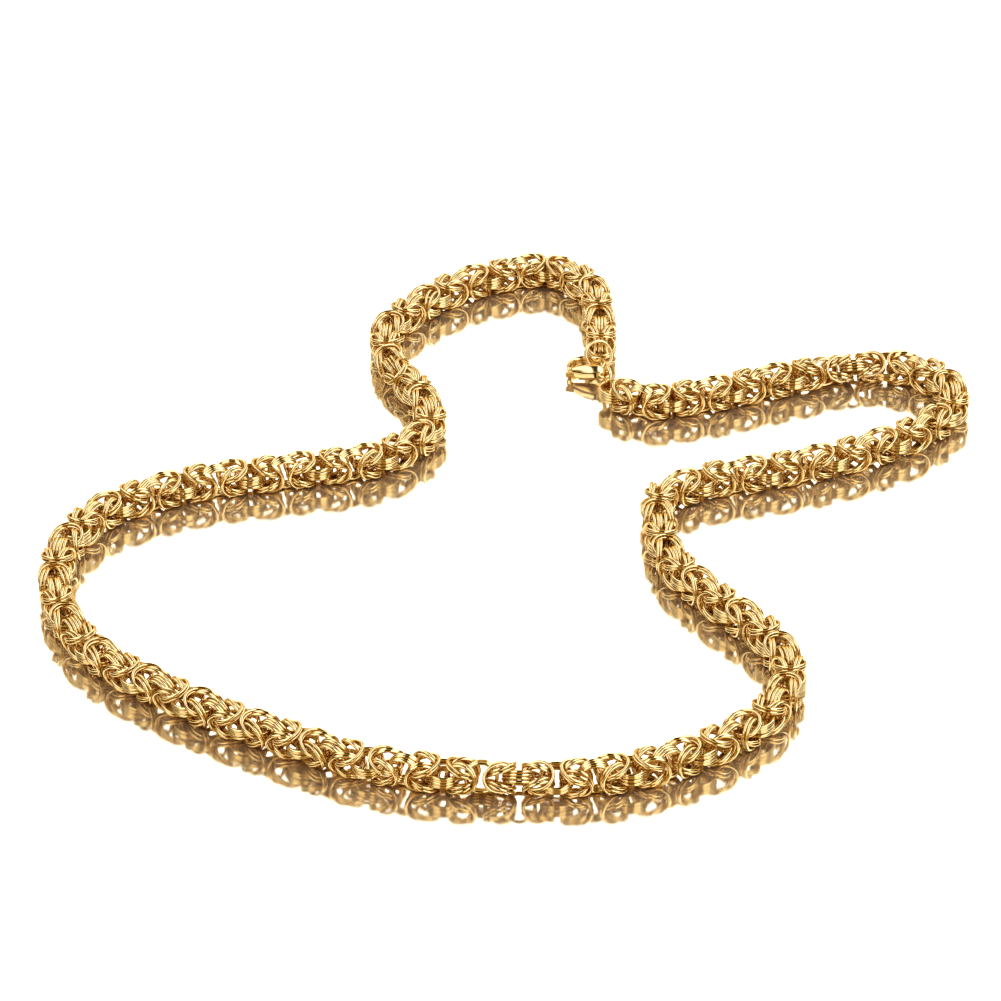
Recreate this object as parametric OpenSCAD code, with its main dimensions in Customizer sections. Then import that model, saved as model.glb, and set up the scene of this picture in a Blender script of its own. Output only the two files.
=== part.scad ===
// A gold byzantine chain with a lobster clasp, laid on a surface in loose bends.
// The chain's fine links are stood for by a tube of the chain's own width along its route.

/* [Links] */
// Outside diameter of a link, which is also the width of the chain
link_od = 6.15; // [5.9:0.05:6.4]
// Diameter of a link's wire
link_wire = 0.55; // [0.45:0.05:0.6]
// Space between neighbouring links of a stack
link_gap = 0.05; // [0.03:0.01:0.1]

/* [Jump ring] */
// Outside diameter of the jump ring
jump_od = 6.2; // [5.8:0.1:6.4]
// Diameter of the jump ring's wire
jump_wire = 0.8; // [0.6:0.05:0.9]

/* [Clasp hook] */
// Radius of the hook's bends, to the middle of its arm
hook_r = 2.75; // [2.6:0.05:2.9]
// Length of the straight stretch between the hook's bends
hook_run = 1.75; // [1.5:0.05:2]
// Width of the hook's arm, seen from above
arm_w = 1.2; // [1:0.05:1.4]
// Height of the hook's arm
arm_h = 2.2; // [1.9:0.1:2.4]

/* [Clasp base] */
// Radius of the domed base
base_r = 1.8; // [1.7:0.05:1.9]
// Height of the domed base
base_h = 3.3; // [3.1:0.1:3.5]
// Radius of the round end of the cheeks
cheek_r = 1.15; // [1.05:0.05:1.25]
// Height over both cheeks
cheek_h = 2.8; // [2.6:0.1:3]
// Height of the slot between the cheeks
slot_h = 1.2; // [1.1:0.05:1.3]

/* [Eyelet] */
// Outside diameter of the eyelet
eye_od = 2.9; // [2.8:0.1:3.1]
// Diameter of the eyelet's hole
eye_d = 1.5; // [1.4:0.05:1.6]
// Height of the eyelet
eye_h = 1.2; // [1:0.1:1.4]

/* [Lever] */
// Diameter of the lever's pin
pin_d = 0.7; // [0.5:0.05:0.8]
// Radial clearance of the pin in the lever
pin_fit = 0.03; // [0.02:0.01:0.05]
// Space above and below the lever in its slot
lever_gap = 0.1; // [0.08:0.01:0.15]
// Space between the lever's head and what it meets
head_gap = 0.12; // [0.1:0.01:0.15]

/* [Hidden] */
$fn = 64;

// The chain's route on the surface, from the jump ring to the hook, points chosen by hand.
route = [
    [19.0, 42.0], [25.5, 38.5], [36.0, 40.5], [51.0, 46.5], [66.0, 51.5], [77.0, 51.0],
    [84.0, 45.0], [85.0, 36.5], [79.5, 28.5], [66.0, 19.0], [49.0, 12.0], [34.5, 7.5],
    [27.0, 1.5], [26.5, -8.5], [29.0, -22.0], [37.0, -35.0], [45.5, -47.5], [48.5, -59.0],
    [44.5, -70.5], [33.0, -82.0], [16.0, -90.0], [-4.0, -91.0], [-25.0, -87.0], [-44.0, -77.0],
    [-62.5, -64.5], [-77.0, -50.5], [-82.0, -41.5], [-85.0, -18.5], [-79.5, -4.5], [-63.5, 6.5],
    [-43.0, 12.0], [-25.5, 17.5], [-17.0, 28.5], [-19.5, 41.0], [-25.0, 54.0], [-26.0, 65.0],
    [-19.5, 76.5], [-6.0, 88.0], [7.5, 91.0], [15.0, 83.0], [16.5, 72.0], [16.5, 57.5]
];
last = len(route) - 1;
// The point of the route where one half of the tube meets the other
middle = 21;
// Steps from one point of the route to the next
steps = 2;
// Sides of the tube, with a flat one below
sides = 8;
chain_z = link_od / 2;
link_r = (link_od - link_wire) / 2;
link_step = link_wire + link_gap;

// Where the clasp lies, how it is turned, and how much its eyelet end is raised
clasp_at = [13.6, 49.7, 0.55];
clasp_turn = -21;
clasp_tilt = 8;
// Places in the clasp's own plane, seen from above
base_at = [1.6, 1.85];
joint_at = [-3.2, 1.5];
tip_at = [-4.35, 2.75];
hook_at = [-1.85, 3.8];
eye_at = [3.95, 0.65];
pin_at = [1.0, 1.35];
mid_z = 1.6;
// Angles at which the hook's outer bend begins, at which its tip begins, and at which it ends
bend_start = 90;
tip_start = 140;
tip_end = 215;
// Radius and height of the lever's head where it meets the hook's tip
tip_r = arm_w / 2;
tip_h = arm_h;
// The lever's round end, its swing, and the radii from the pin at which its head begins and ends
lever_r = 0.95;
lever_swing = 20;
head_start = norm(joint_at - pin_at) + head_gap / 2;
head_end = 5.4;
lever_h = slot_h - 2 * lever_gap;
// The near edge of the lever's plate at both ends, and the corners of its thumb nub
plate_near = [0, 0.3];
nub = [[-2.2, 0.2], [-4.1, -0.25], [-3.9, 1.2]];
slot_r = lever_r + 0.15;
slot_slope = lever_swing + 2;
pin_h = 2.5;
pin_seat = 0.01;
// Longer than any part of the clasp, for cuts that go right through
reach = 8;
pebble_sides = 40;

// Middle of the two links that the hook holds, their turn, and their lean from lying flat
hook_link_at = [16.2, 56.7, 2.95];
hook_link_turn = 27;
hook_link_lean = 57;

jump_r = (jump_od - jump_wire) / 2;
// Height of the jump ring's middle, which stands a little clear of the surface
jump_lift = 0.1;
jump_z = jump_od / 2 + jump_lift;
// How far the jump ring's wire stands off the middle of the eyelet's hole
jump_off = 0.05;

function unit(v) = v / norm(v);

// Length from one point of the route to the next
chord = [for (i = [0 : last - 1]) norm(route[i + 1] - route[i])];

// Heading of the smooth curve at a point of the route
function inner_heading(i) =
    ((route[i + 1] - route[i]) * chord[i - 1] / chord[i] + (route[i] - route[i - 1]) * chord[i] / chord[i - 1])
    / (chord[i] + chord[i - 1]);
function heading(i) =
    i == 0 ? 2 * (route[1] - route[0]) / chord[0] - inner_heading(1) :
    i == last ? 2 * (route[last] - route[last - 1]) / chord[last - 1] - inner_heading(last - 1) :
    inner_heading(i);

// Place and direction on the curve between point i and the next one, with t from 0 to 1
function place(i, t) =
    (2 * t^3 - 3 * t^2 + 1) * route[i] + (t^3 - 2 * t^2 + t) * chord[i] * heading(i)
    + (3 * t^2 - 2 * t^3) * route[i + 1] + (t^3 - t^2) * chord[i] * heading(i + 1);
function slope(i, t) =
    unit((6 * t^2 - 6 * t) * route[i] + (3 * t^2 - 4 * t + 1) * chord[i] * heading(i)
    + (6 * t - 6 * t^2) * route[i + 1] + (3 * t^2 - 2 * t) * chord[i] * heading(i + 1));

// One ring of the tube's corners round a place on the curve
function ring(at, dir) = [
    for (k = [0 : sides - 1])
        let (a = 360 / sides * (k + 0.5), r = chain_z / cos(180 / sides))
        [at.x - r * cos(a) * dir.y, at.y + r * cos(a) * dir.x, chain_z + r * sin(a)]
];

// A point of the clasp's own frame, in the part's frame
function from_clasp(p) =
    let (x = p.x * cos(clasp_tilt) - p.z * sin(clasp_tilt))
    clasp_at + [x * cos(clasp_turn) - p.y * sin(clasp_turn), x * sin(clasp_turn) + p.y * cos(clasp_turn),
                p.x * sin(clasp_tilt) + p.z * cos(clasp_tilt)];

module tube(from, to) {
    rings = [
        for (i = [from : to - 1], s = [0 : steps - 1]) ring(place(i, s / steps), slope(i, s / steps)),
        ring(place(to - 1, 1), slope(to - 1, 1))
    ];
    count = len(rings);
    faces = [
        [for (k = [0 : sides - 1]) k],
        for (j = [0 : count - 2], k = [0 : sides - 1])
            let (a = j * sides + k, b = j * sides + (k + 1) % sides)
            each [[a, a + sides, b + sides], [a, b + sides, b]],
        [for (k = [sides - 1 : -1 : 0]) (count - 1) * sides + k]
    ];
    polyhedron([for (r = rings) each r], faces);
}

module wire_ring(r, wire) {
    rotate_extrude() translate([r, 0]) circle(d = wire);
}

module in_clasp() {
    translate(clasp_at) rotate([0, 0, clasp_turn]) rotate([0, -clasp_tilt, 0]) children();
}

// A round pebble, lower or higher than it is wide
module pebble(at, r, h) {
    translate([at.x, at.y, mid_z]) scale([1, 1, h / 2 / r]) sphere(r = r, $fn = pebble_sides);
}

// The outline of a bar with round upper and lower edges, standing on the middle of the axis
module bar_outline(w, h) {
    square([w, h - w], center = true);
    for (s = [-1, 1]) translate([0, s * (h - w) / 2]) circle(d = w);
}

// A bend of the hook about a point, between two angles
module hook_bend(at, from, to) {
    translate([at.x, at.y, mid_z]) rotate([0, 0, from]) rotate_extrude(angle = to - from)
        translate([hook_r, 0]) bar_outline(arm_w, arm_h);
}

// A straight stretch of the hook along x from a point
module hook_bar(at, turn, length) {
    translate([at.x, at.y, mid_z]) rotate([0, 0, turn]) rotate([90, 0, 90])
        linear_extrude(length) bar_outline(arm_w, arm_h);
}

module around_pin(r) {
    translate([pin_at.x, pin_at.y, -reach]) cylinder(r = r, h = 2 * reach);
}

module slot() {
    start = pin_at + slot_r * [sin(slot_slope), cos(slot_slope)];
    translate([0, 0, mid_z - slot_h / 2]) linear_extrude(slot_h) {
        translate(pin_at) circle(r = slot_r);
        polygon([[pin_at.x + slot_r, pin_at.y], [pin_at.x + slot_r, -reach], [-reach, -reach],
                 start + reach * [-cos(slot_slope), sin(slot_slope)], start]);
    }
}

module pin_hole(fit) {
    translate([pin_at.x, pin_at.y, mid_z]) cylinder(d = pin_d + 2 * fit, h = pin_h + 2 * fit, center = true);
}

module chain_a() { color("goldenrod") tube(0, middle); }
module chain_b() { color("goldenrod") tube(middle, last); }

module start_link(i) {
    color("gold") translate([route[0].x, route[0].y, chain_z + (i - 1.5) * link_step]) wire_ring(link_r, link_wire);
}

// The two links that the hook holds, leaning side by side
module hook_link(i) {
    color("gold") translate(hook_link_at) rotate([0, 0, hook_link_turn]) rotate([hook_link_lean, 0, 0])
        translate([0, 0, (i - 0.5) * link_step]) wire_ring(link_r, link_wire);
}

module jump_ring() {
    eye = from_clasp([eye_at.x, eye_at.y, mid_z]);
    toward = unit(route[0] - [eye.x, eye.y]);
    at = [eye.x, eye.y] + (jump_off + jump_r) * toward;
    color("gold") translate([at.x, at.y, jump_z]) rotate([0, 0, atan2(toward.y, toward.x)]) rotate([90, 0, 0])
        wire_ring(jump_r, jump_wire);
}

module clasp_body() {
    right_bend = hook_at + [hook_run, 0];
    color("gold") in_clasp() difference() {
        union() {
            intersection() {
                hull() {
                    pebble(base_at, base_r, base_h);
                    pebble(joint_at, cheek_r, cheek_h);
                }
                around_pin(head_start - head_gap);
            }
            difference() {
                hook_bend(hook_at, tip_start, tip_end);
                around_pin(head_end + head_gap);
            }
            hook_bend(hook_at, bend_start, tip_start);
            hook_bar(hook_at + [0, hook_r], 0, hook_run);
            hook_bend(right_bend, 0, bend_start);
            hook_bar(right_bend + [hook_r, 0], -90, right_bend.y - base_at.y);
            translate([eye_at.x, eye_at.y, mid_z]) rotate_extrude()
                translate([(eye_od + eye_d) / 4, 0]) bar_outline((eye_od - eye_d) / 2, eye_h);
        }
        translate([eye_at.x, eye_at.y, -reach]) cylinder(d = eye_d, h = 2 * reach);
        slot();
        pin_hole(pin_seat);
    }
}

module lever_pin() { color("gold") in_clasp() pin_hole(0); }

module clasp_lever() {
    color("gold") in_clasp() difference() {
        union() {
            difference() {
                hull() {
                    pebble(joint_at, cheek_r, cheek_h);
                    pebble(tip_at, tip_r, tip_h);
                }
                around_pin(head_start);
                difference() {
                    around_pin(2 * reach);
                    around_pin(head_end);
                }
            }
            translate([0, 0, mid_z - lever_h / 2]) linear_extrude(lever_h) {
                translate(pin_at) circle(r = lever_r);
                polygon([[pin_at.x + lever_r, pin_at.y], [pin_at.x + lever_r, plate_near[0]],
                         [joint_at.x, plate_near[1]], [joint_at.x, pin_at.y + lever_r],
                         [pin_at.x, pin_at.y + lever_r]]);
                polygon([each nub, joint_at]);
            }
        }
        pin_hole(pin_fit);
    }
}

chain_a();
chain_b();
start_link(0);  // start_link_1
start_link(1);  // start_link_2
start_link(2);  // start_link_3
start_link(3);  // start_link_4
hook_link(0);  // hook_link_1
hook_link(1);  // hook_link_2
jump_ring();
clasp_body();
lever_pin();
clasp_lever();
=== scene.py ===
"""Looks of the gold byzantine chain: each link of the weave on the CAD tube's route, a clasp cast smooth, polished
gold, and a glossy pale floor."""

import math
import random

import bpy
import numpy as np
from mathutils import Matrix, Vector


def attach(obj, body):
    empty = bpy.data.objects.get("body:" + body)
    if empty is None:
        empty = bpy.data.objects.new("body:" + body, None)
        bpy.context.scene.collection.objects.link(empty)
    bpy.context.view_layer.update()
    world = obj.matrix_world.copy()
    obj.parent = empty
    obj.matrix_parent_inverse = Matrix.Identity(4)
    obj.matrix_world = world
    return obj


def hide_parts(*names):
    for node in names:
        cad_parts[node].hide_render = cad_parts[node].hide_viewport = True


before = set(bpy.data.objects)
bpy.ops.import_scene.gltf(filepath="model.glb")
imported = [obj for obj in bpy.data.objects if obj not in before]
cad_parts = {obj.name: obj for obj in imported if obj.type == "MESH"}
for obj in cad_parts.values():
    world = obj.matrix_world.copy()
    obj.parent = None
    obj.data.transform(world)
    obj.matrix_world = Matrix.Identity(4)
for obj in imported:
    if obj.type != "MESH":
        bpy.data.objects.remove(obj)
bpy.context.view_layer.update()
scene = bpy.context.scene

# ---------------------------------------------------------------- the chain's route, as in the part's source
# In metres.
ROUTE = np.array([
    (0.0190, 0.0420), (0.0255, 0.0385), (0.0360, 0.0405), (0.0510, 0.0465), (0.0660, 0.0515), (0.0770, 0.0510),
    (0.0840, 0.0450), (0.0850, 0.0365), (0.0795, 0.0285), (0.0660, 0.0190), (0.0490, 0.0120), (0.0345, 0.0075),
    (0.0270, 0.0015), (0.0265, -0.0085), (0.0290, -0.0220), (0.0370, -0.0350), (0.0455, -0.0475), (0.0485, -0.0590),
    (0.0445, -0.0705), (0.0330, -0.0820), (0.0160, -0.0900), (-0.0040, -0.0910), (-0.0250, -0.0870),
    (-0.0440, -0.0770), (-0.0625, -0.0645), (-0.0770, -0.0505), (-0.0820, -0.0415), (-0.0850, -0.0185),
    (-0.0795, -0.0045), (-0.0635, 0.0065), (-0.0430, 0.0120), (-0.0255, 0.0175), (-0.0170, 0.0285),
    (-0.0195, 0.0410), (-0.0250, 0.0540), (-0.0260, 0.0650), (-0.0195, 0.0765), (-0.0060, 0.0880), (0.0075, 0.0910),
    (0.0150, 0.0830), (0.0165, 0.0720), (0.0165, 0.0575),
])
STEPS = 40  # of the curve, between two points of the route
MIDDLE = 21  # the route's point where chain_a ends and chain_b begins
LINK_OD = 0.00615
WIRE = 0.00062
LINK_R = (LINK_OD - WIRE) / 2
MID_Z = LINK_OD / 2
HALF_UNITS = 93
UP = np.array([0.0, 0.0, 1.0])


def curve_through(points):
    """A smooth curve through the points, with each point's heading leaning towards its nearer neighbour's chord."""
    chords = np.linalg.norm(np.diff(points, axis=0), axis=1)
    heading = np.zeros_like(points)
    for i in range(1, len(points) - 1):
        ahead = (points[i + 1] - points[i]) / chords[i]
        back = (points[i] - points[i - 1]) / chords[i - 1]
        heading[i] = (ahead * chords[i - 1] + back * chords[i]) / (chords[i] + chords[i - 1])
    heading[0] = 2 * (points[1] - points[0]) / chords[0] - heading[1]
    heading[-1] = 2 * (points[-1] - points[-2]) / chords[-1] - heading[-2]
    curve = []
    for i in range(len(points) - 1):
        for j in range(STEPS):
            t = j / STEPS
            curve.append((2 * t**3 - 3 * t**2 + 1) * points[i] + (t**3 - 2 * t**2 + t) * chords[i] * heading[i]
                         + (3 * t**2 - 2 * t**3) * points[i + 1] + (t**3 - t**2) * chords[i] * heading[i + 1])
    curve.append(points[-1])
    return np.array(curve)


line = curve_through(ROUTE)
along = np.concatenate([[0], np.cumsum(np.linalg.norm(np.diff(line, axis=0), axis=1))])
pitch = along[-1] / HALF_UNITS
tangent = np.gradient(line, axis=0)
tangent /= np.linalg.norm(tangent, axis=1)[:, None]


def place(s):
    """Centre of the chain at length s, with its direction and its left side."""
    at = np.array([np.interp(s, along, line[:, 0]), np.interp(s, along, line[:, 1]), MID_Z])
    t = np.array([np.interp(s, along, tangent[:, 0]), np.interp(s, along, tangent[:, 1]), 0])
    t /= np.linalg.norm(t)
    return at, t, np.cross(UP, t)


# ---------------------------------------------------------------- the weave
# How far each half unit lags behind an even spacing, in half units, and the roll of the weave there, in degrees.
LAG = [
    (0, 0), (3, 0.22), (9, 0.27), (12, 0.5), (15, 0.15), (19, -0.07), (22, -0.2), (24, -0.3), (27, -0.07),
    (33, -0.12), (35, -0.3), (39, -0.47), (44, -0.48), (46.5, -0.6), (48.5, -0.51), (51, -0.34), (53, -0.2),
    (55, -0.05), (59, -0.25), (63, -0.45), (74, -0.48), (76, -0.65), (79, -0.2), (81, -0.3), (85, -0.3), (87, -0.2),
    (89, 0.15), (91, 0.4), (93, 0.25),
]
ROLL = [
    (0, 0), (6, 0), (10, -90), (40, -90), (44, -180), (46, -195), (57, -190), (63, -180), (75.5, -180), (79.5, -90),
    (93, -90),
]
TILT = math.radians(18.5)  # of the folded pairs
GAP = 1.02  # from link to link in a stack, in wires
STRAY_ALONG = 0.008  # how far a link strays along the chain, in half units
STRAY_ASIDE = 0.00004  # and across it, in metres
STRAY_LEAN = 0.03  # and how far its axis leans
EDGE_SINK = 0.15  # how much flatter the weave is where it lies on its edge
RING_STEPS = 40
WIRE_STEPS = 8
PER_PIECE = 14  # half units

around = np.linspace(0, 2 * math.pi, RING_STEPS, endpoint=False)
across = np.linspace(0, 2 * math.pi, WIRE_STEPS, endpoint=False)
ring_faces = np.array([
    (i * WIRE_STEPS + j, next_i * WIRE_STEPS + j, next_i * WIRE_STEPS + next_j, i * WIRE_STEPS + next_j)
    for i, next_i in zip(range(RING_STEPS), [*range(1, RING_STEPS), 0])
    for j, next_j in zip(range(WIRE_STEPS), [*range(1, WIRE_STEPS), 0])
], dtype=np.int32)
dice = random.Random(7)


def table(knots, k):
    return float(np.interp(k, *zip(*knots)))


def stray(size):
    return dice.gauss(0, size)


def half_unit(k):
    """Links of half unit k: place along the chain, offsets along a and b, and normal along the chain, a and b."""
    links = []
    if 0 < k < HALF_UNITS:
        for i in (-1.5, -0.5, 0.5, 1.5):
            links.append((k, 0.0, i * GAP * WIRE, (0.0, 0.0, 1.0)))
    if k < HALF_UNITS:
        for side in (-1, 1):
            for i in (0.5, 1.5):
                mid = i * GAP * WIRE / math.cos(TILT) + LINK_R * math.sin(TILT)
                links.append((k + 0.5, side * mid, 0.0, (-side * math.sin(TILT), math.cos(TILT), 0.0)))
                links.append((k + 0.5, 0.0, side * mid, (side * math.sin(TILT), 0.0, math.cos(TILT))))
    return links


def link_points(k, link):
    """The points of one link's wire, ring by ring of WIRE_STEPS points."""
    pos, along_a, along_b, normal = link
    pos += stray(STRAY_ALONG)
    at, t, n = place((pos - table(LAG, pos)) * pitch)
    roll = table(ROLL, pos)
    angle = math.radians(roll + 90 * k)
    a = math.cos(angle) * n + math.sin(angle) * UP
    b = -math.sin(angle) * n + math.cos(angle) * UP
    middle = at + (along_a + stray(STRAY_ASIDE)) * a + (along_b + stray(STRAY_ASIDE)) * b
    axis = ((normal[0] + stray(STRAY_LEAN)) * t + (normal[1] + stray(STRAY_LEAN)) * a
            + (normal[2] + stray(STRAY_LEAN)) * b)
    axis = axis / np.linalg.norm(axis)
    p = np.cross(axis, UP if abs(axis[2]) < 0.9 else n)
    p /= np.linalg.norm(p)
    q = np.cross(axis, p)
    out = np.cos(around)[:, None] * p + np.sin(around)[:, None] * q
    rim = middle + LINK_R * out
    skin = np.cos(across)[None, :, None] * out[:, None, :] + np.sin(across)[None, :, None] * axis
    points = (rim[:, None, :] + WIRE / 2 * skin).reshape(-1, 3)
    # A weave that lies on its edge settles until it is no higher than the rest.
    room = MID_Z / max(MID_Z, np.abs(points[:, 2] - MID_Z).max())
    edge = 1 - EDGE_SINK * abs(math.sin(math.radians(2 * roll)))
    points[:, 2] = MID_Z + (points[:, 2] - MID_Z) * min(room, edge)
    return points


def weave_object(name, rings):
    co = np.concatenate(rings).astype(np.float32)
    faces = np.concatenate([ring_faces + i * RING_STEPS * WIRE_STEPS for i in range(len(rings))])
    mesh = bpy.data.meshes.new(name)
    mesh.vertices.add(len(co))
    mesh.vertices.foreach_set("co", co.ravel())
    mesh.loops.add(faces.size)
    mesh.loops.foreach_set("vertex_index", faces.ravel())
    mesh.polygons.add(len(faces))
    mesh.polygons.foreach_set("loop_start", np.arange(0, faces.size, 4, dtype=np.int32))
    mesh.polygons.foreach_set("use_smooth", np.ones(len(faces), dtype=bool))
    mesh.update(calc_edges=True)
    return bpy.data.objects.new(name, mesh)


# ---------------------------------------------------------------- materials
COLOUR_FACTOR, COLOUR_A, COLOUR_B = 0, 6, 7  # inputs of a Mix node that mixes colours
COLOUR_RESULT = 2  # and its output
GOLD_GRAIN = 300
GOLD_STOPS = ((0.3, (0.97, 0.78, 0.43, 1)), (0.7, (1.0, 0.82, 0.48, 1)))
# Painted shade: the dark brown gold painted into crevices between crowded links, and the reach, range and samples of
# the occlusion node that finds them.
CREVICE_SHADE_GOLD = (0.58, 0.30, 0.04, 1)
CREVICE_SHADE_REACH = 0.0022
CREVICE_SHADE_RANGE = (0.08, 0.60)
CREVICE_SHADE_SAMPLES = 4


def nodes_of(owner):
    owner.use_nodes = True
    tree = owner.node_tree
    tree.nodes.clear()
    return tree


def add_node(tree, kind, inputs, **settings):
    """A shader node with these settings, and with each input set to a value or linked to another node's output."""
    node = tree.nodes.new("ShaderNode" + kind)
    for name, value in settings.items():
        setattr(node, name, value)
    for socket, value in inputs.items():
        if isinstance(value, bpy.types.NodeSocket):
            tree.links.new(value, node.inputs[socket])
        else:
            node.inputs[socket].default_value = value
    return node


def ramp_node(tree, source, ends):
    """Rises smoothly from 0 to 1 while the source goes from the first end to the second."""
    node = add_node(tree, "MapRange", {"Value": source, "From Min": ends[0], "From Max": ends[1]},
                    interpolation_type="SMOOTHSTEP")
    return node.outputs[0]


def colour_mix(tree, factor, a, b):
    node = add_node(tree, "Mix", {COLOUR_FACTOR: factor, COLOUR_A: a, COLOUR_B: b}, data_type="RGBA")
    return node.outputs[COLOUR_RESULT]


def gold(name, rough):
    m = bpy.data.materials.new(name)
    tree = nodes_of(m)
    where = add_node(tree, "TexCoord", {})
    noise = add_node(tree, "TexNoise", {"Vector": where.outputs["Object"], "Scale": GOLD_GRAIN})
    tone = add_node(tree, "ValToRGB", {"Fac": noise.outputs["Fac"]})
    for stop, (position, colour) in zip(tone.color_ramp.elements, GOLD_STOPS):
        stop.position = position
        stop.color = colour
    # Painted shade: where an occlusion node finds links crowding together, the gold's colour is mixed towards a darker
    # brown, standing in for the shade in the crevices between links.
    occlusion = add_node(tree, "AmbientOcclusion", {"Distance": CREVICE_SHADE_REACH}, samples=CREVICE_SHADE_SAMPLES)
    unshaded = ramp_node(tree, occlusion.outputs["AO"], CREVICE_SHADE_RANGE)
    shade = colour_mix(tree, unshaded, CREVICE_SHADE_GOLD, tone.outputs["Color"])
    shader = add_node(tree, "BsdfPrincipled", {"Base Color": shade, "Metallic": 1.0, "Roughness": rough})
    add_node(tree, "OutputMaterial", {"Surface": shader.outputs[0]})
    return m


wire_gold = gold("wire gold", rough=0.03)
cast_gold = gold("cast gold", rough=0.2)

middle_s = along[MIDDLE * STEPS]
for first in range(0, HALF_UNITS + 1, PER_PIECE):
    units = range(first, min(first + PER_PIECE, HALF_UNITS + 1))
    rings = [link_points(k, link) for k in units for link in half_unit(k)]
    o = weave_object("weave_%02d" % (first // PER_PIECE), rings)
    scene.collection.objects.link(o)
    o.data.materials.append(wire_gold)
    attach(o, "necklace")
    s0, s1 = first * pitch, min(first + PER_PIECE, HALF_UNITS) * pitch
    stood_for = [n for n, near in (("chain_a", s0 < middle_s), ("chain_b", s1 > middle_s)) if near]
    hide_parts(*stood_for)

# ---------------------------------------------------------------- the clasp, cast smooth
# In its own plane and in millimetres: x runs to the eyelet, y to the hook's back, and z is 0 midway through the clasp.
CLASP_AT = np.array([13.6, 49.7, 0.55])
CLASP_TURN = math.radians(-21)
CLASP_TILT = math.radians(8)
CLASP_MID = 1.6
CAST_VOXEL = 0.00007
POLISH, POLISH_ROUNDS = 0.5, 6
TURN_STEPS = 40

# The body is a drop on a slightly rising axis, cut into two cheeks by a slot. The spine fills the slot behind the pin
# and on the hook's side.
BODY_ENDS, BODY_STEPS = (-3.12, 3.39), 60
BODY_Y = (1.85, 0.073)  # the axis where x is AXIS_X, and its rise
AXIS_X = 1.6
DROP_END = 3.4
DROP_LENGTH = 10.4
DROP_SWELL = 5.0
SLOT = 0.6  # half its height
SLOT_R = 1.1  # round the pin
SLOT_CORNER = (1.41, 2.37)
SLOT_SLOPE = 0.404
NO_SLOT = -5.0
PIN_AT = (1.0, 1.35)

# The hook is a straight stub, a quarter round on the right and a longer round on the left that ends at the lever.
HOOK_R = 2.75
HOOK_HALF = 1.0  # half its height
HOOK_RIGHT, HOOK_LEFT = (-0.1, 3.8), (-1.85, 3.8)
STUB_ENDS, STUB_W, STUB_STEPS = (2.2, 3.7), 0.50, 8
RIGHT_ENDS, RIGHT_W, RIGHT_STEPS = (0, math.pi / 2), 0.48, 24
LEFT_ENDS, LEFT_W, LEFT_STEPS = (math.pi / 2, math.radians(205)), 0.46, 36

EYE_AT, EYE_R, EYE_STEPS = (3.95, 0.65), 1.1, 49
EYE_W = 0.36
EYE_HALF = 0.55  # half its height

LEVER = 0.48  # half its height
HEAD = [
    (-3.30, 1.50, 1.55, 0.86, 0.90), (-3.70, 1.60, 1.85, 0.74, 0.88), (-4.05, 1.85, 2.30, 0.62, 0.86),
    (-4.25, 2.20, 2.75, 0.50, 0.84), (-4.33, 2.50, 3.00, 0.44, 0.82),
]
TONGUE = [(1.9, 1.05), (1.9, 0.25), (-0.6, -0.05), (-3.4, 0.45), (-3.4, 2.2), (-0.5, 2.3), (1.0, 2.28), (1.6, 2.0),
          (1.93, 1.4)]
NUB = [(-2.2, 0.3), (-4.1, -0.25), (-3.9, 1.2), (-3.2, 1.6)]

turns = np.linspace(0, 2 * math.pi, TURN_STEPS, endpoint=False)


def sweep(stations, keep=lambda x, y, z: (x, y, z)):
    """A closed skin through ovals, each with its middle x and y, its width's direction, half width and half height."""
    rings = []
    for x, y, way, w, h in stations:
        side = w * np.cos(turns)
        rings.append(np.stack(keep(x + side * math.cos(way), y + side * math.sin(way), h * np.sin(turns)), axis=1))
    count, size = len(rings), len(turns)
    faces = [(i * size + j, (i + 1) * size + j, (i + 1) * size + (j + 1) % size, i * size + (j + 1) % size)
             for i in range(count - 1) for j in range(size)]
    faces += [tuple(range(size)), tuple((count - 1) * size + j for j in reversed(range(size)))]
    return np.concatenate(rings), faces


def plate(corners, h):
    count = len(corners)
    points = [(x, y, z) for z in (-h, h) for x, y in corners]
    faces = [(j, (j + 1) % count, count + (j + 1) % count, count + j) for j in range(count)]
    return np.array(points), faces + [tuple(range(count))[::-1], tuple(range(count, 2 * count))]


def drop(x):
    """Half height and half width of the body, which swells like a drop towards its eyelet end."""
    t = (DROP_END - x) / DROP_LENGTH
    return DROP_SWELL * math.sqrt(t) * (1 - t) ** 1.5


def slot_edge(x):
    """The y from which the spine fills the slot."""
    if x > PIN_AT[0] + SLOT_R:
        return NO_SLOT
    if x > SLOT_CORNER[0]:
        return PIN_AT[1] + math.sqrt(SLOT_R ** 2 - (x - PIN_AT[0]) ** 2)
    return SLOT_CORNER[1] + (SLOT_CORNER[0] - x) * SLOT_SLOPE


def arc(middle, r, ends, w, h, count):
    """Stations for sweep on a round of radius r about the middle."""
    return [(middle[0] + r * math.cos(a), middle[1] + r * math.sin(a), a, w, h) for a in np.linspace(*ends, count)]


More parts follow.
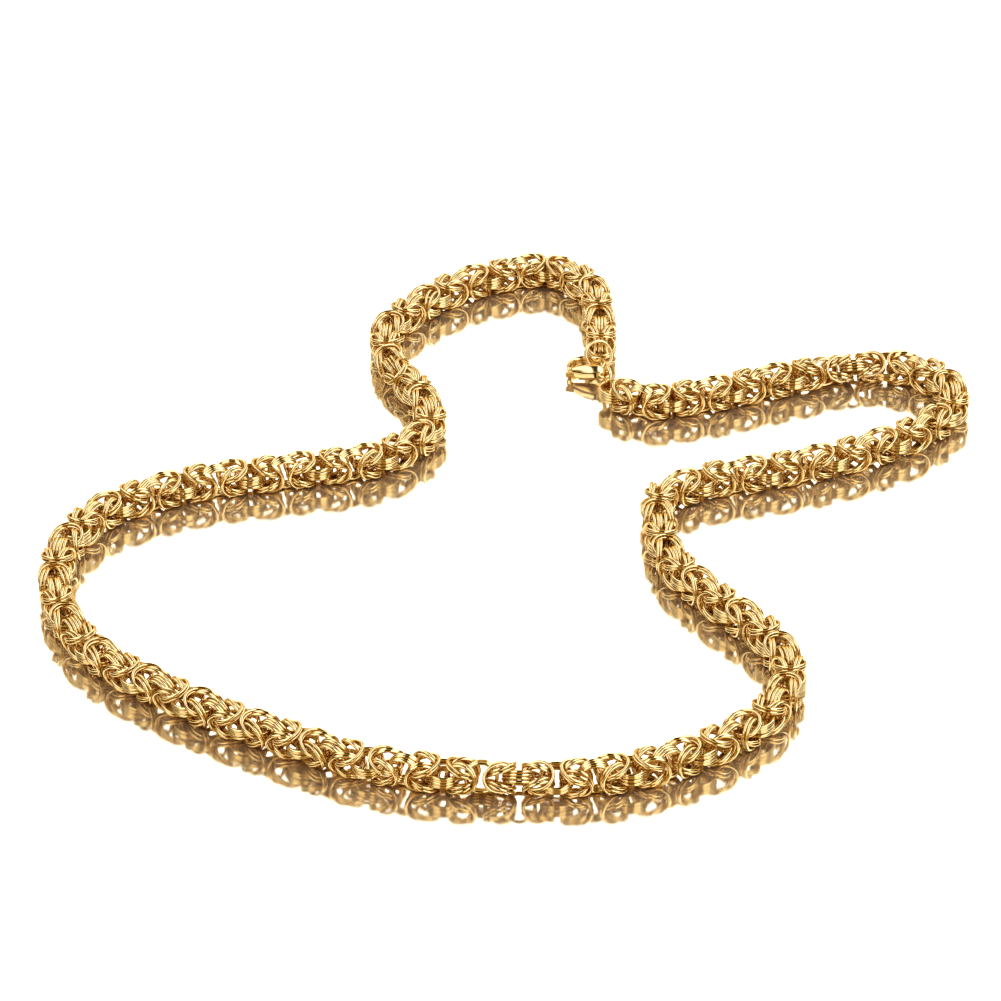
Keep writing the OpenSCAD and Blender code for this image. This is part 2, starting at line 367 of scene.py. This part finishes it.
def clasp_piece(name, parts, body, node):
    co, faces = [], []
    for points, part_faces in parts:
        faces += [[len(co) + i for i in face] for face in part_faces]
        co += list(points)
    co = np.array(co)
    up = co[:, 2] + CLASP_MID
    ahead = co[:, 0] * math.cos(CLASP_TILT) - up * math.sin(CLASP_TILT)
    placed = np.stack([ahead * math.cos(CLASP_TURN) - co[:, 1] * math.sin(CLASP_TURN),
                       ahead * math.sin(CLASP_TURN) + co[:, 1] * math.cos(CLASP_TURN),
                       co[:, 0] * math.sin(CLASP_TILT) + up * math.cos(CLASP_TILT)], axis=1)
    mesh = bpy.data.meshes.new(name)
    mesh.from_pydata(((placed + CLASP_AT) / 1000).tolist(), [], faces)
    o = bpy.data.objects.new(name, mesh)
    scene.collection.objects.link(o)
    cast = o.modifiers.new("cast in one", "REMESH")
    cast.mode = "VOXEL"
    cast.voxel_size = CAST_VOXEL
    cast.use_smooth_shade = True
    polish = o.modifiers.new("polish", "SMOOTH")
    polish.factor = POLISH
    polish.iterations = POLISH_ROUNDS
    mesh.materials.append(cast_gold)
    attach(o, body)
    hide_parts(node)


ovals = [(x, BODY_Y[0] + (x - AXIS_X) * BODY_Y[1], math.pi / 2, drop(x), drop(x))
         for x in np.linspace(*BODY_ENDS, BODY_STEPS)]
upper = sweep(ovals, lambda x, y, z: (x, y, np.maximum(z, SLOT)))
lower = sweep(ovals, lambda x, y, z: (x, y, np.minimum(z, -SLOT)))
spine = sweep([oval for oval in ovals if oval[0] > 0], lambda x, y, z: (x, np.maximum(y, slot_edge(x[0])), z))
hook = sweep([(HOOK_RIGHT[0] + HOOK_R, y, 0.0, STUB_W, HOOK_HALF) for y in np.linspace(*STUB_ENDS, STUB_STEPS)]
             + arc(HOOK_RIGHT, HOOK_R, RIGHT_ENDS, RIGHT_W, HOOK_HALF, RIGHT_STEPS)
             + arc(HOOK_LEFT, HOOK_R, LEFT_ENDS, LEFT_W, HOOK_HALF, LEFT_STEPS))
eyelet = sweep(arc(EYE_AT, EYE_R, (0, 2 * math.pi), EYE_W, EYE_HALF, EYE_STEPS))
clasp_piece("clasp_body_smooth", [upper, lower, spine, hook, eyelet], "necklace", "clasp_body")
clasp_piece("clasp_lever_smooth", [sweep(HEAD), plate(TONGUE, LEVER), plate(NUB, LEVER)], "lever", "clasp_lever")

for name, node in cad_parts.items():
    node.data.materials.clear()
    node.data.materials.append(cast_gold if name.startswith("clasp") or name == "lever_pin" else wire_gold)

# ---------------------------------------------------------------- floor
FLOOR_HALF = 3.0
FLOOR_Z = -0.00002
FLOOR_BASE = (0.95, 0.85, 0.65, 1)
FLOOR_GLOSS = (0.90, 0.83, 0.68, 1)
GLOSS_SHARE = 0.84
GLOSS_SPREAD = 0.04

floor_mesh = bpy.data.meshes.new("floor")
floor_mesh.from_pydata([(FLOOR_HALF * x, FLOOR_HALF * y, 0) for x, y in ((-1, -1), (1, -1), (1, 1), (-1, 1))], [],
                       [(0, 1, 2, 3)])
floor = bpy.data.objects.new("floor", floor_mesh)
floor.location.z = FLOOR_Z
scene.collection.objects.link(floor)
m = bpy.data.materials.new("floor")
tree = nodes_of(m)
# A fine grain tips the gloss a little, so what stands higher above the floor is reflected softer.
where = add_node(tree, "TexCoord", {})
grain = add_node(tree, "TexWhiteNoise", {"Vector": where.outputs["Object"]})
tip = add_node(tree, "VectorMath", {0: grain.outputs["Color"], 1: (GLOSS_SPREAD, GLOSS_SPREAD, 0.0),
                                    2: (-GLOSS_SPREAD / 2, -GLOSS_SPREAD / 2, 1.0)}, operation="MULTIPLY_ADD")
facing = add_node(tree, "VectorMath", {0: tip.outputs[0]}, operation="NORMALIZE")
flat = add_node(tree, "BsdfDiffuse", {"Color": FLOOR_BASE})
gloss = add_node(tree, "BsdfGlossy", {"Color": FLOOR_GLOSS, "Roughness": 0.0, "Normal": facing.outputs[0]})
both = add_node(tree, "MixShader", {0: GLOSS_SHARE, 1: flat.outputs[0], 2: gloss.outputs[0]})
add_node(tree, "OutputMaterial", {"Surface": both.outputs[0]})
floor_mesh.materials.append(m)

# ---------------------------------------------------------------- light
# The metal sees a studio: two soft boxes, left and right, with a dark gap between them that runs from the front up
# over the top, a dim strip low in front, a brighter one behind, and next to nothing elsewhere.
# The eye and the floor's gloss see white all round, so the floor is pale from every side.
# Each pair is where a light's edge begins and ends, along the x, y or z of the direction looked in.
BOX_INNER, BOX_OUTER, BOX_FOOT = (0.26, 0.32), (0.84, 0.76), (0.30, 0.38)
BOX_LIGHT = 1.35
RIGHT_MORE, RIGHT_FROM = 0.4, (-0.2, 0.2)
SIDE_LIGHT, SIDE_EDGE = 0.05, (0.30, 0.50)
BACK_LIGHT, BACK_EDGE = 0.75, (0.60, 0.72)
LOW_LIGHT, LOW_TOP, LOW_FRONT = 0.40, (0.70, 0.50), (-0.3, -0.6)
DARK_LIGHT = 0.01
WHITE_LIGHT = 1.85
WARM, NEUTRAL = (1.0, 0.65, 0.19, 1), (1, 1, 1, 1)
WARM_RANGE = (0.5, 1.5)  # of the light, from warm to neutral

world = bpy.data.worlds.new("studio")
scene.world = world
tree = nodes_of(world)


def ramp(source, ends):
    return ramp_node(tree, source, ends)


def calc(kind, a, b):
    return add_node(tree, "Math", {0: a, 1: b}, operation=kind).outputs[0]


where = add_node(tree, "TexCoord", {})
x, y, z = add_node(tree, "SeparateXYZ", {0: where.outputs["Generated"]}).outputs
aside = calc("ABSOLUTE", x, 0.0)
boxes = calc("MULTIPLY", ramp(aside, BOX_INNER), calc("MULTIPLY", ramp(aside, BOX_OUTER), ramp(z, BOX_FOOT)))
box_light = calc("ADD", BOX_LIGHT, calc("MULTIPLY", ramp(x, RIGHT_FROM), RIGHT_MORE))
sides = calc("MULTIPLY", ramp(aside, SIDE_EDGE), SIDE_LIGHT)
back = calc("MULTIPLY", ramp(y, BACK_EDGE), BACK_LIGHT)
low = calc("MULTIPLY", calc("MULTIPLY", ramp(z, LOW_TOP), ramp(y, LOW_FRONT)), LOW_LIGHT)
fill = calc("MAXIMUM", calc("MAXIMUM", sides, back), low)
studio = calc("ADD", calc("MAXIMUM", calc("MULTIPLY", boxes, box_light), fill), DARK_LIGHT)

path = add_node(tree, "LightPath", {})
first_bounce = calc("LESS_THAN", path.outputs["Glossy Depth"], 1.5)
mirrored = calc("MULTIPLY", path.outputs["Is Singular Ray"], first_bounce)
white = calc("MAXIMUM", path.outputs["Is Camera Ray"], mirrored)
strength = add_node(tree, "Mix", {"Factor": white, "A": studio, "B": WHITE_LIGHT})
# What is dim round the metal is warm, and what is bright is white.
bright = calc("MAXIMUM", ramp(studio, WARM_RANGE), white)
sky = add_node(tree, "Background", {"Color": colour_mix(tree, bright, WARM, NEUTRAL),
                                    "Strength": strength.outputs["Result"]})
add_node(tree, "OutputWorld", {"Surface": sky.outputs[0]})

# ---------------------------------------------------------------- camera
CAMERA_AT = (-0.0033, -0.8088, 0.4984)
CAMERA_TO = (-0.0033, 0.0062, 0)
CAMERA_LENS = 180.4
CAMERA_SENSOR = 36

camera = bpy.data.objects.new("camera", bpy.data.cameras.new("camera"))
scene.collection.objects.link(camera)
camera.data.sensor_width = CAMERA_SENSOR
camera.data.lens = CAMERA_LENS
camera.data.clip_start = 0.01
camera.location = CAMERA_AT
camera.rotation_euler = (Vector(CAMERA_TO) - camera.location).to_track_quat("-Z", "Y").to_euler()
scene.camera = camera

scene.view_settings.view_transform = "Standard"
scene.view_settings.look = "Medium High Contrast"

bpy.context.view_layer.update()
